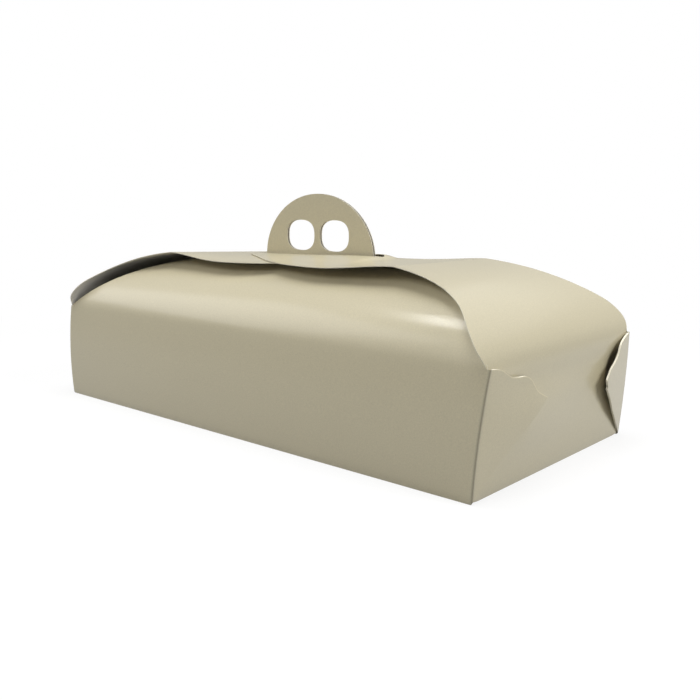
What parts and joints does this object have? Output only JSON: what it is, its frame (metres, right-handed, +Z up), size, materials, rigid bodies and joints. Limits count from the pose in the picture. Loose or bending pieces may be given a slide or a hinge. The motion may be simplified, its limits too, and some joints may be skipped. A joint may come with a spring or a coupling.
{
  "type": "cake box",
  "caption": "Long cake box folded from coated card, with a carrying handle that rises through the slotted tongues of its end flaps.",
  "frame": {"origin": "middle of the box's footprint, on the surface that it stands on", "axes": "+X along the length, from the left end flap to the right one that opens first; +Y to the back; +Z up"},
  "size_m": [0.4613, 0.2076, 0.183],
  "materials": {
    "coated_card": "satin"
  },
  "bodies": {
    "box": {"box_sheet": "coated_card"},
    "right_flap": {"right_flap": "coated_card"}
  },
  "joints": [
    {"name": "right_flap_hinge", "type": "hinge", "parent": "box", "child": "right_flap", "pos_m": [0.2254, 0, 0.0813], "axis": [0, 1, 0], "range_deg": [0, 120]}
  ]
}
